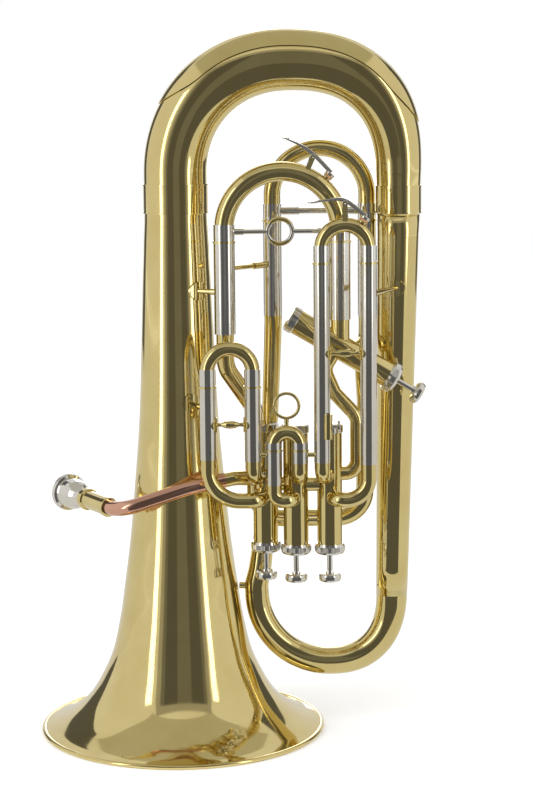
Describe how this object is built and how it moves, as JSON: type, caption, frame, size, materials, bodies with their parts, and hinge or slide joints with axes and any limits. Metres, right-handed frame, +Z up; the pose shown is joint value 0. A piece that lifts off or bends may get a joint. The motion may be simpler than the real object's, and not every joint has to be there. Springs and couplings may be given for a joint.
{
  "type": "euphonium",
  "caption": "Upright low brass horn standing on its flared bell, with piston valves, pull-out tuning slides, water keys and a removable mouthpiece.",
  "frame": {"origin": "centre of the bell mouth in the plane of its rim, on the floor", "axes": "+Z up along the bell axis, +X towards the outer branch, +Y towards the mouthpiece and the player"},
  "size_m": [0.3781, 0.28, 0.6855],
  "materials": {
    "lacquered_brass": "polished",
    "nickel_silver": "polished",
    "silver_plate": "polished",
    "rose_brass": "polished"
  },
  "bodies": {
    "horn": {"bell": "lacquered_brass", "bell_ferrule": "lacquered_brass", "top_bow": "lacquered_brass", "bow_guard": "lacquered_brass", "branch_ferrule": "lacquered_brass", "outer_branch": "lacquered_brass", "lower_bow": "lacquered_brass", "inner_branch": "lacquered_brass", "leadpipe": "rose_brass", "leadpipe_tail": "lacquered_brass", "receiver": "lacquered_brass", "valve_casing_1": "lacquered_brass", "valve_casing_2": "lacquered_brass", "valve_casing_3": "lacquered_brass", "valve_casing_4": "lacquered_brass", "upper_cap_1": "silver_plate", "upper_cap_2": "silver_plate", "upper_cap_3": "silver_plate", "upper_cap_4": "silver_plate", "lower_cap_1": "silver_plate", "lower_cap_2": "silver_plate", "lower_cap_3": "silver_plate", "lower_cap_4": "silver_plate", "valve_knuckles": "lacquered_brass", "sleeves_1": "nickel_silver", "sleeves_2": "nickel_silver", "sleeves_3": "nickel_silver", "sleeves_4": "nickel_silver", "sleeves_main": "nickel_silver", "elbows_1": "lacquered_brass", "elbows_2": "lacquered_brass", "elbows_3": "lacquered_brass", "return_tube_4": "lacquered_brass", "foot_4": "lacquered_brass", "foot_main": "lacquered_brass", "crossover": "lacquered_brass", "bell_braces": "lacquered_brass", "branch_brace": "lacquered_brass", "leg_brace": "lacquered_brass", "baluster_1": "lacquered_brass", "baluster_3": "lacquered_brass", "slide_stays": "lacquered_brass", "lyre_box": "lacquered_brass"},
    "valve_1": {"piston_1": "silver_plate", "button_1": "silver_plate"},
    "valve_2": {"piston_2": "silver_plate", "button_2": "silver_plate"},
    "valve_3": {"piston_3": "silver_plate", "button_3": "silver_plate"},
    "valve_4": {"piston_4": "silver_plate", "button_4": "silver_plate"},
    "slide_body_1": {"slide_1": "lacquered_brass"},
    "slide_body_2": {"slide_2": "lacquered_brass"},
    "slide_body_3": {"slide_3": "lacquered_brass"},
    "slide_body_4": {"slide_4": "lacquered_brass"},
    "slide_body_main": {"slide_main": "lacquered_brass"},
    "key_3": {"water_key_3": "silver_plate"},
    "key_4": {"water_key_4": "silver_plate"},
    "mouthpiece_body": {"mouthpiece": "silver_plate"}
  },
  "joints": [
    {"name": "press_valve_1", "type": "slide", "parent": "horn", "child": "valve_1", "axis": [0, 0, 1], "range_m": [0, 0.017], "stiffness_N_per_m": 220, "springref_m": -0.018},
    {"name": "press_valve_2", "type": "slide", "parent": "horn", "child": "valve_2", "axis": [0, 0, 1], "range_m": [0, 0.017], "stiffness_N_per_m": 220, "springref_m": -0.018},
    {"name": "press_valve_3", "type": "slide", "parent": "horn", "child": "valve_3", "axis": [0, 0, 1], "range_m": [0, 0.017], "stiffness_N_per_m": 220, "springref_m": -0.018},
    {"name": "press_valve_4", "type": "slide", "parent": "horn", "child": "valve_4", "axis": [-0.8572, 0, 0.515], "range_m": [0, 0.017], "stiffness_N_per_m": 220, "springref_m": -0.018},
    {"name": "pull_slide_1", "type": "slide", "parent": "horn", "child": "slide_body_1", "axis": [0, 0, 1], "range_m": [0, 0.045]},
    {"name": "pull_slide_2", "type": "slide", "parent": "horn", "child": "slide_body_2", "axis": [0, 0, 1], "range_m": [0, 0.007]},
    {"name": "pull_slide_3", "type": "slide", "parent": "horn", "child": "slide_body_3", "axis": [0, 0, 1], "range_m": [0, 0.13]},
    {"name": "pull_slide_4", "type": "slide", "parent": "horn", "child": "slide_body_4", "axis": [0, 0, 1], "range_m": [0, 0.05]},
    {"name": "pull_slide_main", "type": "slide", "parent": "horn", "child": "slide_body_main", "axis": [0, 0, 1], "range_m": [0, 0.025]},
    {"name": "lift_water_key_3", "type": "hinge", "parent": "slide_body_3", "child": "key_3", "pos_m": [0.1599, -0.074, 0.5241], "axis": [0, -1, 0], "range_deg": [0, 16], "stiffness_Nm_per_rad": 0.05, "springref_deg": -28.65},
    {"name": "lift_water_key_4", "type": "hinge", "parent": "slide_body_4", "child": "key_4", "pos_m": [0.13109, -0.038, 0.56525], "axis": [0, -1, 0], "range_deg": [0, 16], "stiffness_Nm_per_rad": 0.05, "springref_deg": -28.65},
    {"name": "pull_mouthpiece", "type": "slide", "parent": "horn", "child": "mouthpiece_body", "axis": [-0.507, 0.862, 0], "range_m": [0, 0.03]}
  ]
}
